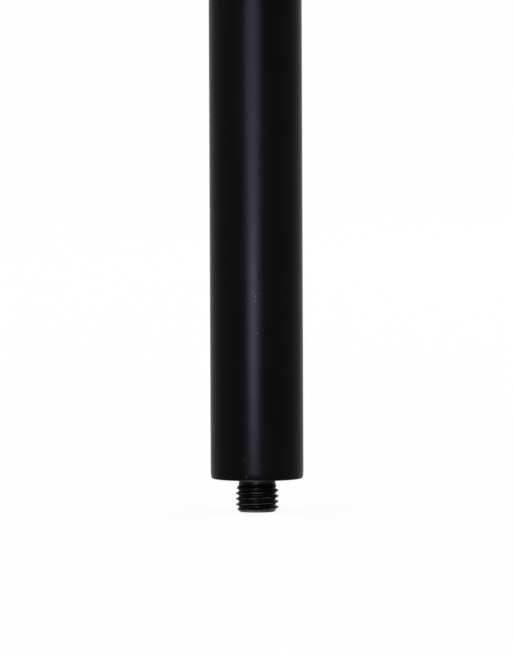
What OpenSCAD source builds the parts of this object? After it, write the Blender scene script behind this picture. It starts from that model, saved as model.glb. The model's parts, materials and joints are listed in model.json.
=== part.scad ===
// Telescopic speaker pole with a threaded foot.
// The origin is the centre of the seat, the flat bottom face that the threaded stud comes out of. +Z is up.
// The clamp screw points along +X and the index plunger along -X.
// The model is drawn closed and clamped, with the plunger's pin held out of the upper tube's holes.

/* [Lower tube] */
// Outer diameter of the lower tube
lower_od = 42; // [41:0.5:52]
// Wall of the lower tube
lower_wall = 2; // [1.8:0.1:2.1]
// Length of the lower tube
lower_len = 650; // [400:10:900]
// Radius of the tube's outer bottom edge
rim_radius = 1; // [0.4:0.1:1.5]

/* [Threaded plug] */
// Outer diameter of the stud's thread
thread_d = 20; // [16:0.5:26]
// Pitch of the stud's thread
thread_pitch = 2.5; // [1.5:0.25:3]
// Turns of full thread on the stud
thread_turns = 4; // [3:1:10]
// Length of the plain neck above the thread
neck_len = 2; // [1.5:0.5:4]
// Length of the stud's tapered end
stud_lead = 2; // [1:0.5:3]
// Depth of the plug inside the tube
plug_len = 30; // [20:1:45]
// Height of the rubber buffer on the plug
buffer_h = 10; // [6:1:16]
// Diameter of the buffer
buffer_d = 30; // [20:1:34]

/* [Upper tube] */
// Outer diameter of the upper tube, which enters the speaker's cup
upper_od = 35; // [29:0.5:35.5]
// Wall of the upper tube
upper_wall = 2; // [1.6:0.1:2.5]
// Plain length that stands above the mark line when the pole is closed
spigot_len = 93; // [70:1:140]
// Spacing of the index holes, and so of the height settings
hole_pitch = 50; // [25:5:60]
// Height of the piston's head, which runs in the lower tube
piston_head = 18; // [14:1:30]
// Length of the piston's spigot inside the upper tube
piston_spigot = 28; // [24:1:40]

/* [Collar] */
// Length of the collar below the lower tube's top end
collar_below = 52; // [48:1:70]
// Length of the collar above the lower tube's top end
collar_above = 46; // [43:1:60]
// Wall of the collar around the lower tube
collar_wall = 6; // [5:0.5:9]
// Length of the guide bush below the lower tube's top end
bush_below = 43; // [36:1:46]

/* [Clamp] */
// Diameter of the clamp screw
screw_d = 10; // [8:0.5:12]
// Pitch of the clamp screw
screw_pitch = 1.5; // [1:0.25:1.75]
// Turns from clamped to loose
loose_turns = 1.5; // [1:0.25:2]
// Diameter of the brake pad
pad_d = 18; // [16:0.5:19]
// Diameter over the lobes of the clamp knob
knob_d = 52; // [44:1:64]
// Thickness of the clamp knob's lobes
knob_h = 15; // [13:1:20]
// Number of lobes on the clamp knob
knob_lobes = 5; // [5:1:7]

/* [Index plunger] */
// Diameter of the plunger's pin
pin_d = 8; // [6:0.5:9]
// Distance from the pin's locked place to its drawn place, held out
pin_travel = 7; // [6:0.5:7.5]
// Outer diameter of the plunger's sleeve
sleeve_d = 14; // [13:0.5:16]
// Length of the sleeve outside the collar
sleeve_out = 19; // [17:0.5:24]
// Diameter of the plunger's knob
pull_knob_d = 26; // [20:1:30]

/* [Clearances] */
// Radial clearance of sliding fits
run_gap = 0.08; // [0.05:0.01:0.1]
// Gap between faces of pieces that move apart
rest_gap = 0.3; // [0.2:0.05:0.4]
// Radial clearance of the pin in its holes
hole_gap = 0.3; // [0.25:0.05:0.5]

/* [Hidden] */
$fn = 96;
over = 1;
lower_r = lower_od / 2;
bore_r = lower_r - lower_wall;
upper_r = upper_od / 2;
upper_bore_r = upper_r - upper_wall;

// Stud: the thread is drawn as rings of the metric profile, one ring to a turn
thread_r = thread_d / 2;
crest_w = thread_pitch / 8;
thread_depth = 0.6134 * thread_pitch;
root_r = thread_r - thread_depth;
neck_r = root_r - 0.25;
neck_cone = 0.5;
flank_w = thread_depth * tan(30);
root_run = 1;
stud_len = neck_len + thread_turns * thread_pitch + root_run + stud_lead;
first_crest = neck_len + root_run + thread_pitch / 2;
stud_end_r = root_r - 0.5 * stud_lead;
plug_lead = 1;
stem_r = 4;
stem_len = 12;

// Upper tube and its piston
piston_z = plug_len + buffer_h + rest_gap;
upper_z = piston_z + piston_head;
piston_r = bore_r - run_gap;
seal_r = 1.55;
seal_gap = 0.1;
seal_out_r = bore_r - seal_gap;
seal_z = piston_z + 8;
piston_floor = 6;
piston_hollow_r = 11;
vent_r = 3;
rivet_r = 2;
rivet_head_r = 3.4;
rivet_z = upper_z + piston_spigot / 2;
rivet_head_share = 0.6;
rivet_head_h = min(0.9, (bore_r - upper_r) * rivet_head_share);

// Guide bush and collar
bush_in_r = upper_r + run_gap;
bush_flange = 3;
bush_z = lower_len - bush_below;
ring_seat = 3;
collar_z = lower_len - collar_below;
collar_top = lower_len + collar_above;
collar_r = lower_r + collar_wall;
skirt_r = lower_r + 3;
skirt_h = 8;
collar_chamfer = 2;
ring_seat_r = lower_r + 1;
ring_flange_r = collar_r - collar_chamfer - 0.6;
ring_h = 3.5;
collar_screw_r = 2;
collar_screw_head_r = 3.8;
collar_screw_head_h = 2.6;
collar_screw_head_gap = 0.2;
collar_screw_angles = [45, 135, 225, 315];
collar_screw_z = collar_z + skirt_h + 8;
rib_w = 5;
rib_z = collar_z + skirt_h + 6;

// Index plunger, measured outward from the pole's axis; the pin and its knob as they stand when locked
plunger_z = bush_z + 17;
pin_r = pin_d / 2;
pin_hole_r = pin_r + hole_gap;
pin_reach = 3.5;
pin_tip = upper_bore_r - pin_reach;
sleeve_r = sleeve_d / 2;
sleeve_in = lower_r + 0.5;
plunger_boss_r = 12;
plunger_boss_x = lower_r + 12;
sleeve_end = plunger_boss_x + sleeve_out;
spring_bore_r = sleeve_r - 1.5;
guide_end = plunger_boss_x - 3;
shoulder_r = spring_bore_r - run_gap;
shoulder_x = guide_end + rest_gap;
shoulder_h = 3;
rod_r = 2.5;
cap_plug = 4;
cap_h = 4;
nut_af = 19;
nut_h = 6;
spring_r = spring_bore_r - 0.4;
spring_wall = 1.2;
pull_knob_gap = 1;
pull_knob_x = sleeve_end + cap_h + pull_knob_gap;
pull_knob_r = pull_knob_d / 2;
pull_hub_r = 7;
pull_hub_h = 4;
pull_head_h = 13;
pull_head_x = pull_knob_x + pull_hub_h;
rod_end = pull_head_x + 6;

// Height settings: the tube slides from closed until its stop ring meets the bush
stop_w = 8;
stop_groove = 0.5;
stop_out_r = bore_r - rest_gap;
stop_slot = 6;
stop_land = 6;
lowest_stop = upper_z + piston_spigot + stop_w + stop_land;
settings = floor((bush_z - rest_gap - lowest_stop) / hole_pitch);
travel = settings * hole_pitch;
stop_top = bush_z - rest_gap - travel;

// Mark line and spigot at the top of the upper tube
mark_w = 1.5;
mark_depth = 0.3;
mark_z = collar_top + ring_h + 2;
spigot_z = mark_z + mark_w;
top_chamfer = 0.5;
upper_top = spigot_z + spigot_len + top_chamfer;
cap_flange_h = 4;
cap_round = 2;
cap_spigot = 24;
cap_wall = 3;

// Clamp, measured outward from the pole's axis
clamp_z = lower_len + bush_flange + (collar_above - bush_flange - ring_seat) / 2;
clamp_boss_r = 15;
pad_pocket_r = pad_d / 2;
pad_r = pad_pocket_r - run_gap;
pad_window_r = pad_pocket_r + 0.2;
pad_face_r = upper_r + rest_gap;
pad_h = 7.5;
pad_x = upper_r + pad_h;
pad_socket = 2.5;
pad_travel = loose_turns * screw_pitch;
screw_r = screw_d / 2;
screw_chamfer = 1;
insert_x = pad_x + pad_travel + 0.35;
insert_flange_h = 2.4;
insert_len = 16;
insert_r = screw_r + 2;
clamp_boss_x = insert_x + insert_len;
screw_tip = pad_x - pad_socket + rest_gap;
knob_gap = 4.4;
knob_x = clamp_boss_x + knob_gap;
knob_neck_h = 5;
knob_neck_r = 10;
knob_r = knob_d / 2;
lobe_r = 7.5;
lobe_stand = 6;
knob_core_r = knob_r - lobe_stand;
knob_round = 4;
knob_face_x = knob_x + knob_neck_h + knob_h;
head_af = screw_d * 1.6;
head_x = knob_x + 8;
head_h = 6;
cap_r = 11.5;
cap_seat_x = head_x + head_h;

// A round bar along +X, between two distances from the pole's axis
module bar_x(radius, from, to) {
    translate([from, 0, 0])
        rotate([0, 90, 0])
            cylinder(h = to - from, r = radius);
}

// The same bar turned to a direction around the pole and raised to a height
module side_bar(angle, height, radius, from, to) {
    rotate([0, 0, angle])
        translate([0, 0, height])
            bar_x(radius, from, to);
}

// A turned piece along +X from an outline of [distance from the pole's axis, radius] points
module turned_x(outline) {
    rotate([0, 90, 0])
        rotate_extrude()
            polygon([for (p = outline) [p[1], p[0]]]);
}

// A hexagonal bar along +X, measured across its flats
module hex_x(across_flats, from, to) {
    translate([from, 0, 0])
        rotate([0, 90, 0])
            cylinder(h = to - from, r = across_flats / 2 / cos(30), $fn = 6);
}

// A hollow ring around the pole's axis
module ring_z(outer, inner, from, to) {
    translate([0, 0, from])
        difference() {
            cylinder(h = to - from, r = outer);
            translate([0, 0, -over])
                cylinder(h = to - from + 2 * over, r = inner);
        }
}

// What a rounding of the outer edge takes off an outline at [radius, height], below it or above it
module edge_round(radius, height, round_r, side) {
    translate([radius - round_r, height])
        difference() {
            translate([0, side > 0 ? -over : -round_r])
                square([round_r + over, round_r + over]);
            translate([0, side * round_r])
                circle(round_r);
        }
}

module lower_tube() {
    color("#141416")
        difference() {
            rotate_extrude()
                difference() {
                    translate([bore_r, 0])
                        square([lower_wall, lower_len]);
                    edge_round(lower_r, 0, rim_radius, 1);
                }
            side_bar(180, plunger_z, pin_hole_r, 0, lower_r + over);
            for (angle = collar_screw_angles)
                side_bar(angle, collar_screw_z, collar_screw_r, 0, lower_r + over);
        }
}

// One ring of thread, from its upper root to its lower root
function thread_ring(depth) = [
    [root_r, -depth + crest_w / 2 + flank_w],
    [thread_r, -depth + crest_w / 2],
    [thread_r, -depth - crest_w / 2],
    [root_r, -depth - crest_w / 2 - flank_w]
];

module threaded_plug() {
    color("#26262a")
        difference() {
            rotate_extrude()
                polygon([
                    [0, plug_len],
                    [bore_r - plug_lead, plug_len],
                    [bore_r, plug_len - plug_lead],
                    [bore_r, 0],
                    [neck_r, 0],
                    [neck_r, -neck_len],
                    [root_r, -neck_len - neck_cone],
                    for (turn = [0 : thread_turns - 1])
                        each thread_ring(first_crest + turn * thread_pitch),
                    [root_r, -stud_len + stud_lead],
                    [stud_end_r, -stud_len],
                    [0, -stud_len]
                ]);
            translate([0, 0, plug_len - stem_len])
                cylinder(h = stem_len + over, r = stem_r);
        }
}

module end_buffer() {
    round_r = 2;
    color("#1c1c1c") {
        translate([0, 0, plug_len])
            rotate_extrude()
                difference() {
                    square([buffer_d / 2, buffer_h]);
                    edge_round(buffer_d / 2, buffer_h, round_r, -1);
                }
        translate([0, 0, plug_len - stem_len + over / 2])
            cylinder(h = stem_len, r = stem_r);
    }
}

module clamp_collar() {
    head_seat = collar_r - collar_screw_head_h;
    head_hole_r = collar_screw_head_r + collar_screw_head_gap;
    color("#18181a")
        difference() {
            union() {
                rotate_extrude()
                    polygon([
                        [0, collar_z],
                        [skirt_r, collar_z],
                        [collar_r, collar_z + skirt_h],
                        [collar_r, collar_top - collar_chamfer],
                        [collar_r - collar_chamfer, collar_top],
                        [0, collar_top]
                    ]);
                side_bar(0, clamp_z, clamp_boss_r, 0, clamp_boss_x);
                side_bar(180, plunger_z, plunger_boss_r, 0, plunger_boss_x);
                translate([0, rib_w / 2, 0])
                    rotate([90, 0, 0])
                        linear_extrude(rib_w)
                            polygon([
                                [lower_r, rib_z],
                                [collar_r, rib_z],
                                [clamp_boss_x - 4, clamp_z - clamp_boss_r + 2],
                                [lower_r, clamp_z - clamp_boss_r + 2]
                            ]);
            }
            translate([0, 0, collar_z - over])
                cylinder(h = collar_below + bush_flange + over, r = lower_r);
            translate([0, 0, collar_z])
                cylinder(h = collar_top - collar_z + over, r = bore_r);
            translate([0, 0, collar_top - ring_seat])
                cylinder(h = ring_seat + over, r = ring_seat_r);
            side_bar(0, clamp_z, pad_pocket_r, 0, insert_x + insert_flange_h);
            side_bar(0, clamp_z, insert_r, 0, clamp_boss_x + over);
            side_bar(180, plunger_z, sleeve_r, 0, plunger_boss_x + over);
            for (angle = collar_screw_angles) {
                side_bar(angle, collar_screw_z, collar_screw_r, 0, collar_r);
                side_bar(angle, collar_screw_z, head_hole_r, head_seat, collar_r + over);
            }
        }
}

module collar_screws() {
    tip = bore_r + 0.3;
    head = collar_r - collar_screw_head_h;
    socket_af = 2.5;
    socket_depth = 1.5;
    color("#303034")
        for (angle = collar_screw_angles)
            rotate([0, 0, angle])
                translate([0, 0, collar_screw_z])
                    difference() {
                        turned_x([
                            [tip, 0],
                            [tip, collar_screw_r - 0.5],
                            [tip + 0.5, collar_screw_r],
                            [head, collar_screw_r],
                            [head, collar_screw_head_r],
                            [collar_r - 0.6, collar_screw_head_r],
                            [collar_r, collar_screw_head_r - 0.8],
                            [collar_r, 0]
                        ]);
                        hex_x(socket_af, collar_r - socket_depth, collar_r + over);
                    }
}

module guide_bush() {
    bush_top = collar_top - ring_seat;
    color("#d8d6ce")
        difference() {
            union() {
                ring_z(bore_r, bush_in_r, bush_z, bush_top);
                ring_z(lower_r, bush_in_r, lower_len, lower_len + bush_flange);
            }
            side_bar(0, clamp_z, pad_window_r, 0, lower_r);
            side_bar(180, plunger_z, pin_hole_r, 0, lower_r);
        }
}

module collar_ring() {
    lip = 1.5;
    color("#222224")
        rotate_extrude()
            polygon([
                [pad_face_r, collar_top - ring_seat],
                [ring_seat_r, collar_top - ring_seat],
                [ring_seat_r, collar_top],
                [ring_flange_r, collar_top],
                [ring_flange_r, collar_top + 1],
                [pad_face_r + lip, collar_top + ring_h],
                [pad_face_r, collar_top + ring_h]
            ]);
}

module screw_insert() {
    hole_r = screw_r + run_gap;
    color("#b5893a")
        translate([0, 0, clamp_z])
            turned_x([
                [insert_x, hole_r],
                [insert_x, pad_pocket_r],
                [insert_x + insert_flange_h, pad_pocket_r],
                [insert_x + insert_flange_h, insert_r],
                [clamp_boss_x, insert_r],
                [clamp_boss_x, hole_r]
            ]);
}

module brake_pad() {
    color("#a88c4c")
        difference() {
            side_bar(0, clamp_z, pad_r, upper_r / 2, pad_x);
            translate([0, 0, clamp_z - pad_d])
                cylinder(h = 2 * pad_d, r = pad_face_r);
            side_bar(0, clamp_z, screw_r + rest_gap, pad_x - pad_socket, pad_x + over);
        }
}

module clamp_screw() {
    color("#b9bcc0")
        translate([0, 0, clamp_z]) {
            turned_x([
                [screw_tip, 0],
                [screw_tip, screw_r - screw_chamfer],
                [screw_tip + screw_chamfer, screw_r],
                [head_x + over, screw_r],
                [head_x + over, 0]
            ]);
            hex_x(head_af, head_x, head_x + head_h);
        }
}

// The star outline of the clamp knob
module star() {
    circle(knob_core_r);
    for (lobe = [0 : knob_lobes - 1])
        rotate(lobe * 360 / knob_lobes)
            translate([knob_r - lobe_r, 0])
                circle(lobe_r);
}

module clamp_knob() {
    lobes_x = knob_x + knob_neck_h;
    color("#17171a")
        translate([0, 0, clamp_z])
            difference() {
                union() {
                    bar_x(knob_neck_r, knob_x, lobes_x + over);
                    intersection() {
                        translate([lobes_x, 0, 0])
                            rotate([0, 90, 0])
                                linear_extrude(knob_h)
                                    star();
                        rotate([0, 90, 0])
                            rotate_extrude()
                                difference() {
                                    translate([0, lobes_x])
                                        square([knob_r, knob_h]);
                                    edge_round(knob_r, lobes_x, knob_round, 1);
                                    edge_round(knob_r, knob_face_x, knob_round, -1);
                                }
                    }
                }
                bar_x(screw_r, knob_x - over, head_x + over);
                hex_x(head_af, head_x, cap_seat_x + over);
                bar_x(cap_r, cap_seat_x, knob_face_x + over);
            }
}

module knob_cap() {
    dome = 1.2;
    color("#3a3a3e")
        translate([0, 0, clamp_z])
            turned_x([
                [cap_seat_x, 0],
                [cap_seat_x, cap_r],
                [knob_face_x, cap_r],
                [knob_face_x + dome * 0.6, cap_r - 1],
                [knob_face_x + dome, cap_r - 3.5],
                [knob_face_x + dome, 0]
            ]);
}

module plunger_sleeve() {
    color("#a9acb0")
        rotate([0, 0, 180])
            translate([0, 0, plunger_z])
                turned_x([
                    [sleeve_in, pin_r + run_gap],
                    [sleeve_in, sleeve_r],
                    [sleeve_end, sleeve_r],
                    [sleeve_end, spring_bore_r],
                    [guide_end, spring_bore_r],
                    [guide_end, pin_r + run_gap]
                ]);
}

module plunger_locknut() {
    color("#c3c5c8")
        rotate([0, 0, 180])
            translate([0, 0, plunger_z])
                difference() {
                    hex_x(nut_af, plunger_boss_x, plunger_boss_x + nut_h);
                    bar_x(sleeve_r, plunger_boss_x - over, plunger_boss_x + nut_h + over);
                }
}

module plunger_end_cap() {
    color("#c3c5c8")
        rotate([0, 0, 180])
            translate([0, 0, plunger_z])
                turned_x([
                    [sleeve_end - cap_plug, rod_r + run_gap],
                    [sleeve_end - cap_plug, spring_bore_r],
                    [sleeve_end, spring_bore_r],
                    [sleeve_end, sleeve_r],
                    [sleeve_end + cap_h - 1, sleeve_r],
                    [sleeve_end + cap_h, sleeve_r - 1],
                    [sleeve_end + cap_h, rod_r + run_gap]
                ]);
}

// The spring is hidden in its sleeve, so it is a plain tube of the coil's outer and inner diameter
module plunger_spring() {
    from = shoulder_x + shoulder_h + pin_travel + rest_gap;
    to = sleeve_end - cap_plug;
    color("#8f9296")
        rotate([0, 0, 180])
            translate([0, 0, plunger_z])
                difference() {
                    bar_x(spring_r, from, to);
                    bar_x(spring_r - spring_wall, from - over, to + over);
                }
}

module plunger_pin() {
    nose = 1.5;
    color("#c8cacd")
        rotate([0, 0, 180])
            translate([pin_travel, 0, plunger_z])
                turned_x([
                    [pin_tip, 0],
                    [pin_tip, pin_r - 0.6 * nose],
                    [pin_tip + nose, pin_r],
                    [shoulder_x, pin_r],
                    [shoulder_x, shoulder_r],
                    [shoulder_x + shoulder_h, shoulder_r],
                    [shoulder_x + shoulder_h, rod_r],
                    [rod_end, rod_r],
                    [rod_end, 0]
                ]);
}

module plunger_knob() {
    back_round = 3;
    front_round = 6;
    color("#17171a")
        rotate([0, 0, 180])
            translate([pin_travel, 0, plunger_z])
                difference() {
                    union() {
                        bar_x(pull_hub_r, pull_knob_x, pull_head_x + over);
                        rotate([0, 90, 0])
                            rotate_extrude()
                                difference() {
                                    translate([0, pull_head_x])
                                        square([pull_knob_r, pull_head_h]);
                                    edge_round(pull_knob_r, pull_head_x, back_round, 1);
                                    edge_round(pull_knob_r, pull_head_x + pull_head_h, front_round, -1);
                                }
                    }
                    bar_x(rod_r, pull_knob_x - over, rod_end);
                }
}

module upper_tube() {
    color("#141416")
        difference() {
            rotate_extrude()
                polygon([
                    [upper_bore_r, upper_z],
                    [upper_r, upper_z],
                    [upper_r, stop_top - stop_w],
                    [upper_r - stop_groove, stop_top - stop_w],
                    [upper_r - stop_groove, stop_top],
                    [upper_r, stop_top],
                    [upper_r, mark_z],
                    [upper_r - mark_depth, mark_z + mark_depth],
                    [upper_r - mark_depth, spigot_z - mark_depth],
                    [upper_r, spigot_z],
                    [upper_r, upper_top - top_chamfer],
                    [upper_r - top_chamfer, upper_top],
                    [upper_bore_r, upper_top]
                ]);
            for (setting = [0 : settings])
                side_bar(180, plunger_z - setting * hole_pitch, pin_hole_r, 0, upper_r + over);
            for (angle = [90, 270])
                side_bar(angle, rivet_z, rivet_r, 0, upper_r + over);
        }
}

// A spring-steel ring with a slot, snapped into the upper tube's groove
module stop_ring() {
    color("#8c8f93")
        difference() {
            ring_z(stop_out_r, upper_r - stop_groove, stop_top - stop_w, stop_top);
            translate([0, -stop_slot / 2, stop_top - stop_w - over])
                cube([lower_r, stop_slot, stop_w + 2 * over]);
        }
}

module piston() {
    groove_h = seal_r + seal_gap;
    color("#d8d6ce")
        difference() {
            union() {
                translate([0, 0, piston_z])
                    cylinder(h = piston_head, r = piston_r);
                translate([0, 0, upper_z])
                    cylinder(h = piston_spigot, r = upper_bore_r);
            }
            translate([0, 0, piston_z + piston_floor])
                cylinder(h = piston_head + piston_spigot, r = piston_hollow_r);
            translate([0, 0, piston_z - over])
                cylinder(h = piston_floor + 2 * over, r = vent_r);
            ring_z(bore_r, seal_out_r - 2 * seal_r, seal_z - groove_h, seal_z + groove_h);
            for (angle = [90, 270])
                side_bar(angle, rivet_z, rivet_r, 0, upper_r + over);
        }
}

module piston_seal() {
    color("#151515")
        translate([0, 0, seal_z])
            rotate_extrude()
                translate([seal_out_r - seal_r, 0])
                    circle(seal_r);
}

module piston_rivets() {
    color("#a9acb0")
        for (angle = [90, 270])
            rotate([0, 0, angle])
                translate([0, 0, rivet_z])
                    turned_x([
                        [piston_hollow_r - 1, 0],
                        [piston_hollow_r - 1, rivet_r],
                        [upper_r, rivet_r],
                        [upper_r, rivet_head_r],
                        [upper_r + rivet_head_h / 2, rivet_head_r - 0.2],
                        [upper_r + rivet_head_h, rivet_r],
                        [upper_r + rivet_head_h, 0]
                    ]);
}

module top_cap() {
    flange_r = upper_r - top_chamfer;
    color("#1b1b1d")
        difference() {
            union() {
                translate([0, 0, upper_top])
                    rotate_extrude()
                        difference() {
                            square([flange_r, cap_flange_h]);
                            edge_round(flange_r, cap_flange_h, cap_round, -1);
                        }
                translate([0, 0, upper_top - cap_spigot])
                    cylinder(h = cap_spigot + over, r = upper_bore_r);
            }
            translate([0, 0, upper_top - cap_spigot - over])
                cylinder(h = cap_spigot + over, r = upper_bore_r - cap_wall);
        }
}

lower_tube();
threaded_plug();
end_buffer();
clamp_collar();
collar_screws();
guide_bush();
collar_ring();
screw_insert();
brake_pad();
clamp_screw();
clamp_knob();
knob_cap();
plunger_sleeve();
plunger_locknut();
plunger_end_cap();
plunger_spring();
plunger_pin();
plunger_knob();
upper_tube();
stop_ring();
piston();
piston_seal();
piston_rivets();
top_cap();
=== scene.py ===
import json
import math

import bmesh
import bpy
from mathutils import Matrix, Vector


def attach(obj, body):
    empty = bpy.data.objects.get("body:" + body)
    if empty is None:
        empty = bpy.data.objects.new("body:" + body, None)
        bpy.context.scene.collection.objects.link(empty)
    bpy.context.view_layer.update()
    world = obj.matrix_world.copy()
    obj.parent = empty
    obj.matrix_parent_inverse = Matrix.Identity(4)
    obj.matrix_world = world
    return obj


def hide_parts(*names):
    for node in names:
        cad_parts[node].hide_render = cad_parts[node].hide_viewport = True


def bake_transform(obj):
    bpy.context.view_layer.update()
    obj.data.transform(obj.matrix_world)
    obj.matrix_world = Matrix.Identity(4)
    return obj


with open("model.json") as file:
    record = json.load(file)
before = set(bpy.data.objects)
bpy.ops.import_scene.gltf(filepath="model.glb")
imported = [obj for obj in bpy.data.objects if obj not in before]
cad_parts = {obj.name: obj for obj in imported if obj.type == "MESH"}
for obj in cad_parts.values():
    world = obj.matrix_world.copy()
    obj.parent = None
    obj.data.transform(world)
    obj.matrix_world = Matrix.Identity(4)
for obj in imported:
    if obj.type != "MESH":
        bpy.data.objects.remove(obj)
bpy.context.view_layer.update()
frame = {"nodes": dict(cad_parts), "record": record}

MM = 0.001
TURN = 2 * math.pi
X_AXIS = Matrix.Rotation(math.pi / 2, 4, "Y")
MINUS_X_AXIS = Matrix.Rotation(-math.pi / 2, 4, "Y")
WHITE = (1, 1, 1, 1)

# Heights, radii and lengths in millimetres, as in the CAD model
LOWER_R = 21.0
LOWER_BORE_R = 19.0
LOWER_TOP = 650.0
STUD_END = -15.0
UPPER_R = 17.5
UPPER_BORE_R = 15.5
UPPER_BOTTOM = 58.3
UPPER_TOP = 796.5
COLLAR_Z = 598.0
COLLAR_TOP = 696.0
COLLAR_R = 27.0
SKIRT_R = 24.0
RING_SEAT_R = 22.0
RING_SEAT_Z = 693.0
SCREW_Z = 614.0
SCREW_ANGLES = (45, 135, 225, 315)
SCREW_R = 2.0
SCREW_SEAT = 24.4
CLAMP_Z = 673.0
BOSS_X = 43.6
INSERT_R = 7.0
INSERT_SHOULDER = 30.0
PAD_BORE_R = 9.0
CLAMP_ROD_R = 5.0
KNOB_BACK = 53.0
KNOB_FRONT = 68.0
CAP_SEAT = 62.0
PLUNGER_Z = 624.0
PLUNGER_BOSS_X = 33.0
SLEEVE_R = 7.0
SLEEVE_END = 52.0
ROD_R = 2.5
ROD_END = 74.0
INDEX_HOLE_R = 4.3
INDEX_STEP = 50.0
INDEX_COUNT = 11
RIVET_Z = 72.3
RIVET_R = 2.0

# Small scuffs on the front of the lower tube and, in the last row, a painted highlight on its foot's
# rim, in millimetres:
# place across and up, half width, half height, and strength from 0 to 1
MARKS_AND_RIM_GLINT = [
    (-1.4, 95.8, 0.22, 1.6, 0.4), (-1.4, 85.0, 0.45, 0.6, 0.8), (-0.4, 83.3, 0.45, 0.7, 1.0),
    (-0.8, 81.3, 0.3, 1.0, 0.6), (2.0, 84.6, 0.5, 0.4, 0.6), (-1.4, 74.2, 0.25, 1.9, 0.4),
    (0.1, 66.8, 0.9, 0.35, 0.7), (-5.5, 9.4, 0.35, 0.8, 0.4), (-4.7, 5.4, 0.25, 0.5, 0.4),
    # The last row is a painted highlight along the front of the tube's foot rim; the rest are scuffs.
    (-4.8, 2.1, 0.3, 0.7, 0.9), (-2.6, 0.1, 6.0, 0.45, 0.9)]


# Mesh helpers

def link_mesh(name, verts, faces, sharp_deg=32):
    """A smooth-shaded object from points in millimetres, with edges kept sharp above an angle."""
    mesh = bpy.data.meshes.new(name)
    mesh.from_pydata([[c * MM for c in v] for v in verts], [], faces)
    piece = bpy.data.objects.new(name, mesh)
    bpy.context.scene.collection.objects.link(piece)
    finish_mesh(piece, sharp_deg)
    return piece


def finish_mesh(piece, sharp_deg=32):
    """Welds doubled points, turns the faces outward and sets smooth shading."""
    weld, sliver = 2e-7, 1e-8
    bm = bmesh.new()
    bm.from_mesh(piece.data)
    bmesh.ops.remove_doubles(bm, verts=bm.verts, dist=weld)
    bmesh.ops.dissolve_degenerate(bm, edges=bm.edges, dist=sliver)
    bmesh.ops.recalc_face_normals(bm, faces=bm.faces)
    bm.to_mesh(piece.data)
    bm.free()
    piece.data.shade_smooth()
    piece.data.set_sharp_from_angle(angle=math.radians(sharp_deg))


def rounded(points, steps=6):
    """An outline whose corners (radius, height, rounding) are turned into arcs."""
    out = []
    for i, point in enumerate(points):
        before = Vector(points[i - 1][:2])
        corner = Vector(point[:2])
        after = Vector(points[(i + 1) % len(points)][:2])
        size = point[2] if len(point) > 2 else 0
        if not size:
            out.append(tuple(corner))
            continue
        u, v = (before - corner).normalized(), (after - corner).normalized()
        half = u.angle(v) / 2
        centre = corner + (u + v).normalized() * (size / math.sin(half))
        start = corner + u * (size / math.tan(half)) - centre
        end = corner + v * (size / math.tan(half)) - centre
        a0, a1 = math.atan2(start.y, start.x), math.atan2(end.y, end.x)
        sweep = (a1 - a0 + math.pi) % TURN - math.pi
        for k in range(steps + 1):
            a = a0 + sweep * k / steps
            out.append((centre.x + size * math.cos(a), centre.y + size * math.sin(a)))
    return out


def lathe(name, outline, place=Matrix(), count=192, shape=None):
    """A turned piece from a closed (radius, height) outline; shape may change a radius by angle."""
    on_axis = 1e-6
    verts, faces, rings = [], [], []
    for r, h in outline:
        ring = []
        for k in range(1 if r < on_axis else count):
            a = TURN * k / count
            radius = shape(r, h, a) if shape else r
            ring.append(len(verts))
            verts.append(place @ Vector((radius * math.cos(a), radius * math.sin(a), h)))
        rings.append(ring)
    for i, ring in enumerate(rings):
        faces += ring_faces(ring, rings[(i + 1) % len(rings)])
    return link_mesh(name, verts, faces)


def lathe_by_ring(name, rings, place, count):
    """A lathe whose rings each have their own radius by angle; a ring with none is a point."""
    verts, faces, marks = [], [], []
    for shape, height in rings:
        mark = []
        for k in range(count if shape else 1):
            a = TURN * k / count
            r = shape(a) if shape else 0
            mark.append(len(verts))
            verts.append(place @ Vector((r * math.cos(a), r * math.sin(a), height)))
        marks.append(mark)
    for i, mark in enumerate(marks):
        faces += ring_faces(mark, marks[(i + 1) % len(marks)])
    return link_mesh(name, verts, faces)


def ring_faces(a, b):
    """The faces between two rings of points, either of which may be a single point."""
    if len(a) == 1 and len(b) == 1:
        return []
    count = max(len(a), len(b))
    out = []
    for k in range(count):
        n = (k + 1) % count
        if len(a) == 1:
            out.append((a[0], b[k], b[n]))
        elif len(b) == 1:
            out.append((a[k], b[0], a[n]))
        else:
            out.append((a[k], b[k], b[n], a[n]))
    return out


def thread(name, crest_r, pitch, depth, low, high, envelope, place=Matrix(), start=0.0, count=192):
    """A right-hand screw of the metric profile between two heights, as one closed mesh."""
    marks = profile_marks(pitch, depth)
    first = math.floor((low - start) / pitch) - 2
    last = math.ceil((high - start) / pitch) + 2
    rows = [(t * pitch + z, d) for t in range(first, last) for z, d in marks]
    verts, faces = [], []
    for z, d in rows:
        for k in range(count):
            a = TURN * k / count
            h = start + z + pitch * k / count
            r = min(crest_r - d, envelope(h))
            verts.append(place @ Vector((r * math.cos(a), r * math.sin(a), h)))
    step = len(marks)
    for i in range(len(rows) - 1):
        for k in range(count):
            shift = step if k == count - 1 else 0
            n = (k + 1) % count
            if i + 1 + shift < len(rows):
                low_a, low_b = i * count + k, (i + shift) * count + n
                faces.append((low_a, low_b, low_b + count, low_a + count))
    piece = link_mesh(name, verts, faces)
    cut_ends(piece, place, low, high)
    finish_mesh(piece)
    return piece


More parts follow.
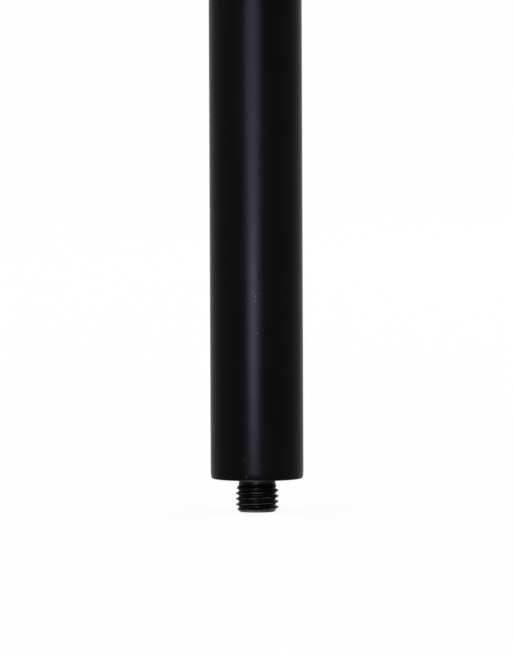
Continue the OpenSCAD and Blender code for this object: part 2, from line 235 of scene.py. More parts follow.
def cut_ends(piece, place, low, high):
    """Cuts a piece off square at two heights along its axis and closes both ends."""
    axis = (place @ Vector((0, 0, 1)) - place @ Vector((0, 0, 0))).normalized()
    bm = bmesh.new()
    bm.from_mesh(piece.data)
    for cut, side in ((low, -1), (high, 1)):
        geom = bm.verts[:] + bm.edges[:] + bm.faces[:]
        point = (place @ Vector((0, 0, cut))) * MM
        bmesh.ops.bisect_plane(bm, geom=geom, plane_co=point, plane_no=axis * side, clear_outer=True)
    rim = [e for e in bm.edges if e.is_boundary]
    bmesh.ops.holes_fill(bm, edges=rim, sides=0)
    bm.to_mesh(piece.data)
    bm.free()


def profile_marks(pitch, depth):
    """Heights over one pitch and the depth below the crest there, with a small root rounding."""
    flat = pitch / 8
    flank = depth * math.tan(math.radians(30))
    root = pitch - flat - 2 * flank
    shares, side_depth = (0.25, 0.5, 0.75, 0.9), depth * 0.985
    marks = [(0, 0), (flat, 0)]
    marks += [(flat + flank * share, depth * share) for share in shares]
    for share, below in ((0.25, side_depth), (0.5, depth), (0.75, side_depth)):
        marks.append((flat + flank + root * share, below))
    marks += [(pitch - flank * share, depth * share) for share in reversed(shares)]
    return marks


def join(name, pieces):
    """One object from several closed pieces."""
    bm = bmesh.new()
    for piece in pieces:
        bm.from_mesh(piece.data)
        mesh = piece.data
        bpy.data.objects.remove(piece)
        bpy.data.meshes.remove(mesh)
    mesh = bpy.data.meshes.new(name)
    bm.to_mesh(mesh)
    bm.free()
    whole = bpy.data.objects.new(name, mesh)
    bpy.context.scene.collection.objects.link(whole)
    finish_mesh(whole)
    return whole


def combine(piece, tools, operation, sharp_deg=32):
    """Applies one Boolean operation with several tool objects, which are then deleted."""
    for tool in tools:
        step = piece.modifiers.new("cut", "BOOLEAN")
        step.operation = operation
        step.solver = "MANIFOLD"
        step.object = tool
    apply_modifiers(piece)
    for tool in tools:
        bpy.data.objects.remove(tool)
    finish_mesh(piece, sharp_deg)
    return piece


def apply_modifiers(piece):
    """Turns the piece's modifiers into plain mesh."""
    graph = bpy.context.evaluated_depsgraph_get()
    mesh = bpy.data.meshes.new_from_object(piece.evaluated_get(graph))
    piece.modifiers.clear()
    piece.data = mesh


def bar(radius, start, end, place, count=96):
    """A plain bar used as a Boolean tool."""
    outline = [(0, start), (radius, start), (radius, end), (0, end)]
    return lathe("tool", outline, place, count)


def at_side(height, turn=X_AXIS):
    """Places a piece made along +Z so that it points sideways from the pole at a height."""
    return Matrix.Translation((0, 0, height)) @ turn


def around(angle):
    """A turn about the pole's axis, in degrees."""
    return Matrix.Rotation(math.radians(angle), 4, "Z")


def hexagon(across, start, end, place):
    """The points and faces of a plain hexagonal bar."""
    corner = corner_radius(across)
    verts = []
    for h in (start, end):
        for k in range(6):
            a = TURN * k / 6
            verts.append(place @ Vector((corner * math.cos(a), corner * math.sin(a), h)))
    faces = [tuple(range(5, -1, -1)), tuple(range(6, 12))]
    faces += [(k, (k + 1) % 6, 6 + (k + 1) % 6, 6 + k) for k in range(6)]
    return verts, faces


def corner_radius(across):
    """The radius at the corners of a hexagon of this width across its flats."""
    return across / 2 / math.cos(math.radians(30))


def prism(name, across, start, end, slope, place):
    """A hexagonal bar whose corners are turned off at both ends."""
    piece = link_mesh(name, *hexagon(across, start, end, place))
    face_r, outside = across / 2 - 0.2, corner_radius(across) + 1
    rise = (outside - face_r) * slope
    outline = [(0, start), (face_r, start), (outside, start + rise), (outside, end - rise),
               (face_r, end), (0, end)]
    return combine(piece, [lathe("tool", outline, place, 96)], "INTERSECT", 20)


# Stage

def build_camera():
    """The photograph's view: level with the pole's foot, a little from above."""
    aim = Vector((0.0, 0.0, 0.0683))
    distance, elevation, roll = 4.0, math.radians(2.9), math.radians(-0.235)
    view_height = 0.2960
    data = bpy.data.cameras.new("camera")
    data.sensor_width = 36.0
    data.lens = data.sensor_width * distance / view_height
    data.clip_start = 0.01
    data.clip_end = 100.0
    camera = bpy.data.objects.new("camera", data)
    bpy.context.scene.collection.objects.link(camera)
    camera.location = aim + distance * Vector((0, -math.cos(elevation), math.sin(elevation)))
    look = (aim - camera.location).to_track_quat("-Z", "Y").to_matrix().to_4x4()
    camera.rotation_euler = (look @ Matrix.Rotation(roll, 4, "Z")).to_euler()
    bpy.context.scene.camera = camera


def mirror_rays(nodes, links):
    """A factor of 1 for rays that see the background directly, in a mirror or through glass."""
    path = nodes.new("ShaderNodeLightPath")
    seen = maths(nodes, links, "ADD", path.outputs["Is Camera Ray"], path.outputs["Is Glossy Ray"])
    whole = maths(nodes, links, "ADD", seen, path.outputs["Is Transmission Ray"])
    whole.node.use_clamp = True
    return whole


def build_world():
    """White to the eye and in reflections, and a plain soft light otherwise."""
    world = bpy.data.worlds.new("world")
    bpy.context.scene.world = world
    world.use_nodes = True
    nodes, links = world.node_tree.nodes, world.node_tree.links
    nodes.clear()
    soft_light, plain_white = 0.95, 1.0
    mix = nodes.new("ShaderNodeMixShader")
    links.new(mirror_rays(nodes, links), mix.inputs[0])
    for number, strength in ((1, soft_light), (2, plain_white)):
        glow = nodes.new("ShaderNodeBackground")
        glow.inputs["Color"].default_value = WHITE
        glow.inputs["Strength"].default_value = strength
        links.new(glow.outputs[0], mix.inputs[number])
    out = nodes.new("ShaderNodeOutputWorld")
    links.new(mix.outputs[0], out.inputs["Surface"])


def build_floor():
    """A white floor under the stud that keeps the pole's soft shadow."""
    radius, height, count = 40.0, -0.01502, 24
    glow_share, paint_tone = 0.9, 0.95
    verts = [(0, 0, height / MM)]
    for k in range(count):
        a = TURN * k / count
        verts.append((radius * math.cos(a) / MM, radius * math.sin(a) / MM, height / MM))
    faces = [(0, 1 + k, 1 + (k + 1) % count) for k in range(count)]
    floor = link_mesh("floor", verts, faces)
    mat = bpy.data.materials.new("floor_white")
    mat.use_nodes = True
    nodes, links = mat.node_tree.nodes, mat.node_tree.links
    nodes.clear()
    glow = nodes.new("ShaderNodeEmission")
    glow.inputs["Color"].default_value = WHITE
    glow.inputs["Strength"].default_value = 1.0
    paint = nodes.new("ShaderNodeBsdfDiffuse")
    paint.inputs["Color"].default_value = (paint_tone, paint_tone, paint_tone, 1)
    mix = nodes.new("ShaderNodeMixShader")
    out = nodes.new("ShaderNodeOutputMaterial")
    links.new(maths(nodes, links, "MULTIPLY", mirror_rays(nodes, links), glow_share), mix.inputs[0])
    links.new(paint.outputs[0], mix.inputs[1])
    links.new(glow.outputs[0], mix.inputs[2])
    links.new(mix.outputs[0], out.inputs["Surface"])
    floor.data.materials.append(mat)


def lamp(name, place, aim, size, power, colour=(1, 1, 1), diffuse=True):
    """A soft rectangular lamp that the camera doesn't see."""
    data = bpy.data.lights.new(name, "AREA")
    data.shape = "RECTANGLE"
    data.size, data.size_y = size
    data.energy = power
    data.color = colour
    piece = bpy.data.objects.new(name, data)
    bpy.context.scene.collection.objects.link(piece)
    piece.location = place
    direction = Vector(aim) - Vector(place)
    piece.rotation_euler = direction.to_track_quat("-Z", "Y").to_euler()
    piece.visible_camera = False
    piece.visible_diffuse = diffuse


def upright_box(name, turn, distance, width, span, glow, tint=(1, 1, 1)):
    """A tall soft lamp facing the pole's axis, for reflections only; glow is its brightness."""
    angle, middle, tall = math.radians(turn), (span[0] + span[1]) / 2, span[1] - span[0]
    place = (distance * math.sin(angle), -distance * math.cos(angle), middle)
    power = glow * math.pi * width * tall
    lamp(name, place, (0, 0, middle), (width, tall), power, tint, diffuse=False)


def build_lamps():
    """A stack of tall boxes in front for the long highlight, one behind, and two soft boxes."""
    turn, near, nearer = -7.8, 0.55, 0.548
    violet, cool = (0.88, 0.88, 1.32), (0.935, 0.935, 1.18)
    stack = [
        ("front_low", near, 0.18, (0.008, 0.06), 16.0, violet),
        ("front_knee", near, 0.23, (0.06, 0.12), 15.4, violet),
        ("front_waist", near, 0.31, (0.12, 0.30), 13.6, violet),
        ("front_middle", near, 0.17, (0.30, 0.48), 11.0, cool),
        ("front_high", near, 0.17, (0.48, 0.95), 6.0, cool),
        ("front_foot", nearer, 0.17, (0.018, 0.054), 80.0, violet)]
    for name, distance, width, span, glow, tint in stack:
        upright_box(name, turn, distance, width, span, glow, tint)
    upright_box("back_tall", 180.0, 1.2, 0.24, (0.0, 1.2), 8.0)
    middle = (0, 0, 0.4)
    lamp("box_left", (-3.0, -1.6, 1.6), middle, (1.6, 2.0), 12.0)
    lamp("box_back", (1.6, 3.2, 1.4), middle, (1.2, 2.0), 8.0)


# Materials

# Each finish: two colours, the span of its roughness, its relief's grain and the colour patches
# in cells a metre, the relief's depth in metres, and how the grain is drawn out along each axis
FINISHES = {
    "powder_coat": dict(
        dark=(0.0010, 0.0010, 0.0011), light=(0.0018, 0.0018, 0.0019), rough=(0.28, 0.32),
        grain=1200, depth=2.5e-5, specular=0.035),
    "black_steel": dict(
        dark=(0.0012, 0.0012, 0.0014), light=(0.0026, 0.0026, 0.0029), rough=(0.28, 0.40),
        grain=2500, depth=6e-6, specular=0.06, stretch=(1, 1, 6)),
    "cast_black": dict(
        dark=(0.0055, 0.0055, 0.0062), light=(0.011, 0.011, 0.012), rough=(0.44, 0.56),
        grain=1500, depth=1.3e-4, specular=0.14, patch=120.0),
    "zinc_steel": dict(
        dark=(0.23, 0.235, 0.245), light=(0.31, 0.315, 0.325), rough=(0.36, 0.48),
        grain=900, depth=1.2e-5, metallic=1.0, stretch=(6, 1, 1)),
    "dark_steel": dict(
        dark=(0.05, 0.05, 0.055), light=(0.08, 0.08, 0.085), rough=(0.28, 0.38),
        grain=1500, depth=4e-6, metallic=1.0),
    "spring_steel": dict(
        dark=(0.30, 0.30, 0.31), light=(0.40, 0.40, 0.42), rough=(0.28, 0.4),
        grain=1500, depth=4e-6, metallic=1.0),
    "brass": dict(
        dark=(0.34, 0.23, 0.09), light=(0.42, 0.30, 0.13), rough=(0.32, 0.44),
        grain=1500, depth=4e-6, metallic=1.0),
    "knob_plastic": dict(
        dark=(0.008, 0.008, 0.009), light=(0.012, 0.012, 0.013), rough=(0.44, 0.54),
        grain=2200, depth=8e-5, specular=0.25),
    "cap_plastic": dict(
        dark=(0.028, 0.028, 0.030), light=(0.036, 0.036, 0.038), rough=(0.36, 0.46),
        grain=2200, depth=5e-5, specular=0.3),
    "trim_plastic": dict(
        dark=(0.011, 0.011, 0.012), light=(0.016, 0.016, 0.017), rough=(0.40, 0.5),
        grain=2200, depth=6e-5, specular=0.25),
    "guide_plastic": dict(
        dark=(0.74, 0.73, 0.68), light=(0.80, 0.79, 0.75), rough=(0.3, 0.4), grain=900, depth=5e-6),
    "rubber": dict(
        dark=(0.016, 0.016, 0.016), light=(0.022, 0.022, 0.022), rough=(0.75, 0.85),
        grain=1200, depth=2e-5, specular=0.2),
}


def tree(name):
    """A new material with its nodes, links and shader."""
    mat = bpy.data.materials.new(name)
    mat.use_nodes = True
    nodes, links = mat.node_tree.nodes, mat.node_tree.links
    return mat, nodes, links, nodes["Principled BSDF"]


def noise(nodes, links, scale, detail=4.0, stretch=(1, 1, 1)):
    """Noise over the object's own place, in cells of 1/scale metres."""
    where = nodes.new("ShaderNodeTexCoord")
    mapping = nodes.new("ShaderNodeMapping")
    mapping.inputs["Scale"].default_value = stretch
    tex = nodes.new("ShaderNodeTexNoise")
    tex.inputs["Scale"].default_value = scale
    tex.inputs["Detail"].default_value = detail
    links.new(where.outputs["Object"], mapping.inputs["Vector"])
    links.new(mapping.outputs["Vector"], tex.inputs["Vector"])
    return tex.outputs["Fac"]


def remap(nodes, links, value, low, high, to_low, to_high):
    """A value stretched from one span to another, held at the ends."""
    step = nodes.new("ShaderNodeMapRange")
    step.inputs["From Min"].default_value = low
    step.inputs["From Max"].default_value = high
    step.inputs["To Min"].default_value = to_low
    step.inputs["To Max"].default_value = to_high
    links.new(value, step.inputs["Value"])
    return step.outputs["Result"]


def blend(nodes, links, factor, first, second):
    """A mix of two colours, each a tuple or a socket."""
    mix = nodes.new("ShaderNodeMix")
    mix.data_type = "RGBA"
    links.new(factor, mix.inputs["Factor"])
    for socket, colour in ((mix.inputs["A"], first), (mix.inputs["B"], second)):
        if isinstance(colour, tuple):
            socket.default_value = (*colour, 1)
        else:
            links.new(colour, socket)
    return mix.outputs["Result"]


def maths(nodes, links, operation, a, b=0.0):
    """One step of arithmetic on two values, each a number or a socket."""
    step = nodes.new("ShaderNodeMath")
    step.operation = operation
    for socket, value in ((step.inputs[0], a), (step.inputs[1], b)):
        if isinstance(value, (int, float)):
            socket.default_value = value
        else:
            links.new(value, socket)
    return step.outputs[0]


def vector_maths(nodes, links, operation, a, b=None):
    """One step of vector arithmetic on a socket and a second socket or three numbers."""
    step = nodes.new("ShaderNodeVectorMath")
    step.operation = operation
    links.new(a, step.inputs[0])
    if isinstance(b, tuple):
        step.inputs[1].default_value = b
    elif b:
        links.new(b, step.inputs[1])
    return step.outputs


def bump(nodes, links, shader, height, depth):
    """Adds relief of a depth in metres."""
    relief = nodes.new("ShaderNodeBump")
    relief.inputs["Distance"].default_value = depth
    relief.inputs["Strength"].default_value = 1.0
    links.new(height, relief.inputs["Height"])
    links.new(relief.outputs["Normal"], shader.inputs["Normal"])


def spot(nodes, links):
    """The place on the object in metres: across, up, and its distance from the pole's axis."""
    where = nodes.new("ShaderNodeTexCoord")
    split = nodes.new("ShaderNodeSeparateXYZ")
    links.new(where.outputs["Object"], split.inputs[0])
    x, y, z = split.outputs
    x_square = maths(nodes, links, "MULTIPLY", x, x)
    y_square = maths(nodes, links, "MULTIPLY", y, y)
    return x, z, maths(nodes, links, "SQRT", maths(nodes, links, "ADD", x_square, y_square))


def band(nodes, links, value, low, high, soft):
    """1 between two values and 0 outside them, with soft ends."""
    rise = remap(nodes, links, value, low - soft, low, 0, 1)
    fall = remap(nodes, links, value, high, high + soft, 1, 0)
    return maths(nodes, links, "MULTIPLY", rise, fall)


def tint_where(mat, mask, colour):
    """Lays a colour over the material where the mask is 1."""
    shader = mat.node_tree.nodes["Principled BSDF"]
    below = shader.inputs["Base Color"].links[0].from_socket
    mixed = blend(mat.node_tree.nodes, mat.node_tree.links, mask, below, colour)
    mat.node_tree.links.new(mixed, shader.inputs["Base Color"])


def thread_wear_and_glints(mat):
    """Lightens the stud's crests in uneven streaks, partly as worn metal and partly as a painted
    highlight, and paints a highlight line around its neck and along its end.
    """
    nodes, links = mat.node_tree.nodes, mat.node_tree.links
    rubbed_and_highlight, painted_glint_tone, soft = (0.085, 0.085, 0.088), (0.25, 0.25, 0.242), 0.1 * MM
    x, z, r = spot(nodes, links)
    # The crests: lighter in uneven streaks, partly worn metal and partly a painted highlight where the
    # crests catch the lamps.
    crest = remap(nodes, links, r, 9.52 * MM, 9.70 * MM, 0, 0.6)
    streaks = remap(nodes, links, noise(nodes, links, 330, 6.0), 0.40, 0.62, 0, 1)
    tint_where(mat, maths(nodes, links, "MULTIPLY", crest, streaks), rubbed_and_highlight)
    # Painted highlight: a glint line around the neck, just under the tube's rim.
    neck = maths(nodes, links, "MULTIPLY", band(nodes, links, z, -1.02 * MM, -0.3 * MM, soft), 0.6)
    # Painted highlight: a bright line along the stud's end edge.
    end = band(nodes, links, z, -15.1 * MM, -14.1 * MM, soft)
    # The end's painted highlight fades out to the left, and both painted highlights fade out to the
    # right.
    not_left = remap(nodes, links, x, -6.5 * MM, -4.0 * MM, 0.15, 1)
    not_right = remap(nodes, links, x, 1.0 * MM, 5.0 * MM, 1, 0.15)
    edges = maths(nodes, links, "MAXIMUM", neck, maths(nodes, links, "MULTIPLY", end, not_left))
    edges = maths(nodes, links, "MULTIPLY", edges, not_right)
    # Noise breaks the painted highlights into flecks.
    flecks = remap(nodes, links, noise(nodes, links, 500, 5.0), 0.36, 0.56, 0, 1)
    tint_where(mat, maths(nodes, links, "MULTIPLY", edges, flecks), painted_glint_tone)


def marks_and_rim_glint(nodes, links):
    """A mask of the small scuffs on the front of the lower tube, and of a painted highlight on its
    rim.
    """
    where = nodes.new("ShaderNodeTexCoord")
    whole = 0.0
    for x, z, wide, tall, tone in MARKS_AND_RIM_GLINT:
        middle = (x * MM, -LOWER_R * MM, z * MM)
        reach = (wide * MM, LOWER_R / 2 * MM, tall * MM)
        away = vector_maths(nodes, links, "SUBTRACT", where.outputs["Object"], middle)[0]
        share = vector_maths(nodes, links, "DIVIDE", away, reach)[0]
        distance = vector_maths(nodes, links, "LENGTH", share)["Value"]
        whole = maths(nodes, links, "MAXIMUM", remap(nodes, links, distance, 0.4, 1.3, tone, 0), whole)
    return whole


def scuff_and_rim_glint(mat):
    """Dust specks, a few hairline scratches, and the placed scuffs and painted rim highlight on the
    tubes' coat.
    """
    nodes, links = mat.node_tree.nodes, mat.node_tree.links
    dust, rubbed_and_highlight, upright = (0.014, 0.014, 0.0145), (0.050, 0.050, 0.048), (1, 1, 0.05)
    where = nodes.new("ShaderNodeTexCoord")
    cells = nodes.new("ShaderNodeTexVoronoi")
    cells.inputs["Scale"].default_value = 120
    links.new(where.outputs["Object"], cells.inputs["Vector"])
    specks = remap(nodes, links, cells.outputs["Distance"], 0.025, 0.045, 1, 0)
    lines = remap(nodes, links, noise(nodes, links, 500, 1.0, upright), 0.68, 0.76, 0, 0.6)
    rare = remap(nodes, links, noise(nodes, links, 22, 2.0), 0.58, 0.66, 0, 1)
    scratches = maths(nodes, links, "MULTIPLY", lines, rare)
    tint_where(mat, maths(nodes, links, "MAXIMUM", specks, scratches), dust)
    rough = remap(nodes, links, noise(nodes, links, 1500, 2.0), 0.35, 0.55, 0, 1)
    # The placed scuffs, and the painted highlight on the rim, lighter in uneven patches.
    tint_where(mat, maths(nodes, links, "MULTIPLY", marks_and_rim_glint(nodes, links), rough), rubbed_and_highlight)


def rub_edges(mat, reach, colour):
    """Lightens the edges that hands and cases rub, unevenly."""
    nodes, links = mat.node_tree.nodes, mat.node_tree.links
    soft = nodes.new("ShaderNodeBevel")
    soft.samples = 6
    soft.inputs["Radius"].default_value = reach
    plain = nodes.new("ShaderNodeNewGeometry")
    dot = vector_maths(nodes, links, "DOT_PRODUCT", soft.outputs["Normal"], plain.outputs["Normal"])
    edge = remap(nodes, links, dot["Value"], 0.90, 0.985, 1, 0)
    uneven = remap(nodes, links, noise(nodes, links, 420, 6.0), 0.42, 0.66, 0.1, 1)
    tint_where(mat, maths(nodes, links, "MULTIPLY", edge, uneven), colour)


def finish_material(name, dark, light, rough, grain, depth, metallic=0.0, specular=0.5,
                    patch=40.0, stretch=(1, 1, 1)):
    """Two close colours in soft patches, uneven gloss, and fine relief of a grain and a depth."""
    mat, nodes, links, shader = tree(name)
    patches = noise(nodes, links, patch, 5.0)
    colour = blend(nodes, links, remap(nodes, links, patches, 0.35, 0.7, 0, 1), dark, light)
    links.new(colour, shader.inputs["Base Color"])
    gloss = noise(nodes, links, patch * 2.3, 6.0, stretch)
    links.new(remap(nodes, links, gloss, 0.3, 0.75, rough[0], rough[1]), shader.inputs["Roughness"])
    bump(nodes, links, shader, noise(nodes, links, grain, 3.0, stretch), depth)
    shader.inputs["Metallic"].default_value = metallic
    shader.inputs["Specular IOR Level"].default_value = specular
    return mat


def build_materials():
    """One material for each slot of the record, then its wear and painted highlights."""
    made = {name: finish_material(name, **look) for name, look in FINISHES.items()}
    thread_wear_and_glints(made["black_steel"])
    scuff_and_rim_glint(made["powder_coat"])
    rub_edges(made["cast_black"], 0.8 * MM, (0.022, 0.022, 0.023))
    rub_edges(made["knob_plastic"], 0.7 * MM, (0.024, 0.024, 0.025))
    return made


def paint_cad_nodes(made):
    """Gives every CAD node the material of its slot."""
    slots = {row["node"]: row["material_slot"] for row in frame["record"]["subparts"]}
    for name, piece in frame["nodes"].items():
        piece.data.materials.clear()
        piece.data.materials.append(made[slots[name]])


def dress(piece, body, node, slot, made):
    """Puts a finished piece in place of its CAD node."""
    piece.data.materials.clear()
    piece.data.materials.append(made[slot])
    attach(piece, body)
    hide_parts(node)


# Pieces

def chamfered_holes(places, radius, inner, outer):
    """Tools for round holes through a tube's wall, with a small chamfer on the outside."""
    chamfer, start = 0.35, inner - 3
    outline = [
        (0, start), (radius, start), (radius, outer - chamfer),
        (radius + 2 * chamfer, outer + chamfer), (0, outer + chamfer)]
    return [lathe("tool", outline, place, 96) for place in places]


def build_lower_tube():
    """The tube, with its foot drawn in and its edge rounded, and the holes that the collar hides."""
    drawn_in, reach, edge = 0.35, 4, 0.3
    rim_r, rim_edge = LOWER_R - 0.45, 0.9
    foot = [(LOWER_R - drawn_in * (1 - k / reach) ** 2, float(k)) for k in range(1, reach + 1)]
    outline = rounded([
        (LOWER_BORE_R, 0, edge), (rim_r, 0, rim_edge), *foot, (LOWER_R, LOWER_TOP, edge),
        (LOWER_BORE_R, LOWER_TOP, edge)])
    tube = lathe("lower_pipe", outline, count=256)
    inside, outside = 15, 25
    tools = [bar(INDEX_HOLE_R, inside, outside, at_side(PLUNGER_Z, MINUS_X_AXIS))]
    for angle in SCREW_ANGLES:
        tools.append(bar(SCREW_R, inside, outside, around(angle) @ at_side(SCREW_Z), 48))
    return combine(tube, tools, "DIFFERENCE")


def build_upper_tube():
    """The sliding tube with its stop and mark grooves, its index holes and the rivets' holes."""
    stop_r, stop_low, stop_high = 17.0, 98.7, 106.7
    mark_r, mark_foot, mark_low, mark_high, mark_head = 17.2, 701.5, 701.8, 702.7, 703.0
    edge, top_edge, mark_edge = 0.3, 0.5, 0.1
    outline = rounded([
        (UPPER_BORE_R, UPPER_BOTTOM, edge), (UPPER_R, UPPER_BOTTOM, edge), (UPPER_R, stop_low),
        (stop_r, stop_low), (stop_r, stop_high), (UPPER_R, stop_high),
        (UPPER_R, mark_foot, mark_edge), (mark_r, mark_low), (mark_r, mark_high),
        (UPPER_R, mark_head, mark_edge), (UPPER_R, UPPER_TOP, top_edge),
        (UPPER_BORE_R, UPPER_TOP, edge)], 5)
    tube = lathe("upper_pipe", outline, count=256)
    rows = [at_side(PLUNGER_Z - INDEX_STEP * k, MINUS_X_AXIS) for k in range(INDEX_COUNT)]
    tools = chamfered_holes(rows, INDEX_HOLE_R, UPPER_BORE_R, UPPER_R)
    inside, outside = 12, 19
    for angle in (90, 270):
        tools.append(bar(RIVET_R, inside, outside, around(angle) @ at_side(RIVET_Z), 48))
    return combine(tube, tools, "DIFFERENCE")


def build_stud():
    """The plug's face, and the stud with its true right-hand helix."""
    crest_r, neck_r, pitch, depth, phase = 9.76, 8.25, 2.5, 1.42, -0.57
    growth = [(STUD_END, 7.8), (-14.85, 8.02), (-13.3, crest_r), (-6.6, crest_r), (-5.2, 9.5),
              (-4.0, 9.1), (-3.0, 8.6), (-2.0, neck_r), (2.0, neck_r)]

    def envelope(z):
        for (z0, r0), (z1, r1) in zip(growth, growth[1:]):
            if z <= z1:
                return r0 + (r1 - r0) * (max(z, z0) - z0) / (z1 - z0)
        return neck_r

    inside_plug = 1.0
    screw = thread("stud", crest_r, pitch, depth, STUD_END, inside_plug, envelope, start=phase)
    plug_r, plug_top, hollow_r, hollow_z = 18.97, 30, 4.0, 18
    plug = lathe("plug", rounded([
        (0, 0), (plug_r, 0, 0.35), (plug_r, plug_top, 1.0), (hollow_r, plug_top),
        (hollow_r, hollow_z), (0, hollow_z)]))
    return join("threaded_stud", [screw, plug])


def build_collar():
    """The cast collar: its bosses and rib run into the barrel in fillets, then the bores are cut."""
    skirt_top, clamp_boss_r, plunger_boss_r = COLLAR_Z + 8, 15, 12
    barrel = lathe("collar", rounded([
        (0, COLLAR_Z), (SKIRT_R, COLLAR_Z, 0.8), (COLLAR_R, skirt_top, 4),
        (COLLAR_R, COLLAR_TOP, 1.8), (0, COLLAR_TOP)]), count=256)
    clamp = boss(clamp_boss_r, BOSS_X, 1.2, at_side(CLAMP_Z))
    plunger = boss(plunger_boss_r, PLUNGER_BOSS_X, 1.0, at_side(PLUNGER_Z, MINUS_X_AXIS))
    combine(barrel, [clamp, plunger, collar_rib()], "UNION")
    remesh = barrel.modifiers.new("remesh", "REMESH")
    remesh.mode = "VOXEL"
    remesh.voxel_size = 0.6 * MM
    smooth = barrel.modifiers.new("smooth", "SMOOTH")
    smooth.factor, smooth.iterations = 0.5, 10
    apply_modifiers(barrel)
    return combine(barrel, collar_bores(), "DIFFERENCE")


def boss(radius, end, edge, place):
    """A round boss that starts inside the collar's barrel, with a rounded outer edge."""
    start = 5
    outline = rounded([(0, start), (radius, start), (radius, end, edge), (0, end)])
    return lathe("tool", outline, place)


def collar_rib():
    """The rib that runs up the collar to the underside of the clamp's boss."""
    foot, top, half, inner, foot_x, top_x = 612, CLAMP_Z - 13, 2.5, 20, 26.6, BOSS_X - 4
    side = [(inner, foot), (foot_x, foot), (top_x, top), (inner, top)]
    verts = [(x, y, z) for y in (-half, half) for x, z in side]
    faces = [(0, 1, 2, 3), (7, 6, 5, 4)]
    faces += [(k, k + 4, (k + 1) % 4 + 4, (k + 1) % 4) for k in range(4)]
    return link_mesh("tool", verts, faces)


def collar_bores():
    """Tools for the collar's bores: tube, bush, trim ring, insert, sleeve and cap screws."""
    below, above, tube_seat = COLLAR_Z - 2, COLLAR_TOP + 2, LOWER_TOP + 3
    tools = [
        bar(LOWER_R, below, tube_seat, Matrix(), 192),
        bar(LOWER_BORE_R, below, above, Matrix(), 192),
        bar(RING_SEAT_R, RING_SEAT_Z, above, Matrix(), 192),
        bar(PAD_BORE_R, 0, INSERT_SHOULDER, at_side(CLAMP_Z)),
        bar(INSERT_R, 0, BOSS_X + 2, at_side(CLAMP_Z)),
        bar(SLEEVE_R, 0, PLUNGER_BOSS_X + 2, at_side(PLUNGER_Z, MINUS_X_AXIS))]
    head_r, inside, outside = 4, 10, 29
    hole = [(0, inside), (SCREW_R, inside), (SCREW_R, SCREW_SEAT), (head_r, SCREW_SEAT),
            (head_r, outside), (0, outside)]
    for angle in SCREW_ANGLES:
        tools.append(lathe("tool", hole, around(angle) @ at_side(SCREW_Z), 64))
    return tools


def build_collar_screws():
    """Four low socket-head screws that hold the collar on the tube."""
    tip, chamfer, head_r, head_side, face_r, head_top = 19.3, 0.5, 3.8, 26.3, 3.0, 26.95
    across, socket, outside = 2.5, 25.4, 28.0
    outline = rounded([
        (0, tip), (SCREW_R - chamfer, tip), (SCREW_R, tip + chamfer), (SCREW_R, SCREW_SEAT),
        (head_r, SCREW_SEAT, 0.2), (head_r, head_side, 0.5), (face_r, head_top, 0.4),
        (0, head_top)], 4)
    screws = []
    for angle in SCREW_ANGLES:
        place = around(angle) @ at_side(SCREW_Z)
        screw = lathe("screw", outline, place, 64)
        tool = link_mesh("tool", *hexagon(across, socket, outside, place))
        screws.append(combine(screw, [tool], "DIFFERENCE"))
    return join("collar_cap_screws", screws)


def build_collar_ring():
    """The trim ring that closes the collar's top around the upper tube."""
    bore_r, lip_r, lip_top, crown_r, crown = 17.8, 24.4, 697.4, 19.6, 699.5
    return lathe("collar_trim", rounded([
        (bore_r, RING_SEAT_Z, 0.3), (RING_SEAT_R, RING_SEAT_Z), (RING_SEAT_R, COLLAR_TOP),
        (lip_r, COLLAR_TOP, 0.3), (lip_r, lip_top, 0.6), (crown_r, crown, 1.0),
        (bore_r, crown, 0.5)]))


def build_top_cap():
    """The plastic cap pressed into the upper tube, with a shallow dish on top."""
    dish_r, face_r, rim_r, hollow_r = 9.0, 10.0, 17.0, 12.5
    dish, top, end = 800.1, 800.5, 772.5
    return lathe("tube_cap", rounded([
        (0, dish), (dish_r, dish, 1.0), (face_r, top, 1.0), (rim_r, top, 2.0),
        (rim_r, UPPER_TOP, 0.2), (UPPER_BORE_R, UPPER_TOP), (UPPER_BORE_R, end, 0.5),
        (hollow_r, end, 0.4), (hollow_r, UPPER_TOP), (0, UPPER_TOP)]))


def build_insert():
    """The brass insert that the clamp screw runs in."""
    bore_r, flange = 5.08, 27.6
    return lathe("clamp_insert", rounded([
        (bore_r, flange, 0.3), (PAD_BORE_R, flange, 0.2), (PAD_BORE_R, INSERT_SHOULDER, 0.2),
        (INSERT_R, INSERT_SHOULDER), (INSERT_R, BOSS_X, 0.3), (bore_r, BOSS_X, 0.5)]),
        at_side(CLAMP_Z))


def build_clamp_screw():
    """The clamp screw with its thread, and the hexagonal head inside the knob."""
    place, pitch, depth = at_side(CLAMP_Z), 1.5, 0.92
    tip, tip_r, relief, relief_r, rod_end = 22.8, 4.0, 53.0, 4.1, 57.0
    across, head_start, head_end, slope = 15.9, 56.0, 61.9, 0.5

    def envelope(x):
        return min(CLAMP_ROD_R, tip_r + (x - tip), relief_r + max(0.0, relief - x))

    rod = thread("rod", CLAMP_ROD_R, pitch, depth, tip, rod_end, envelope, place, count=96)
    head = prism("head", across, head_start, head_end, slope, place)
    return join("clamp_rod", [rod, head])


def star_radius(angle, inset):
    """The knob outline's radius in a direction, this far inside its edge, with soft valleys."""
    lobes, reach, lobe, core, soft = 5, 18.5, 7.5, 20.0, 3.0

    def distance(r):
        step = TURN / lobes
        near = (angle + step / 2) % step - step / 2
        to_lobe = math.hypot(r * math.cos(near) - reach, r * math.sin(near)) - lobe
        to_core = r - core
        share = max(soft - abs(to_lobe - to_core), 0) / soft
        return min(to_lobe, to_core) - share * share * soft / 4 + inset

    low, high, halvings = 5.0, 30.0, 24
    for _ in range(halvings):
        middle = (low + high) / 2
        low, high = (middle, high) if distance(middle) < 0 else (low, middle)
    return low


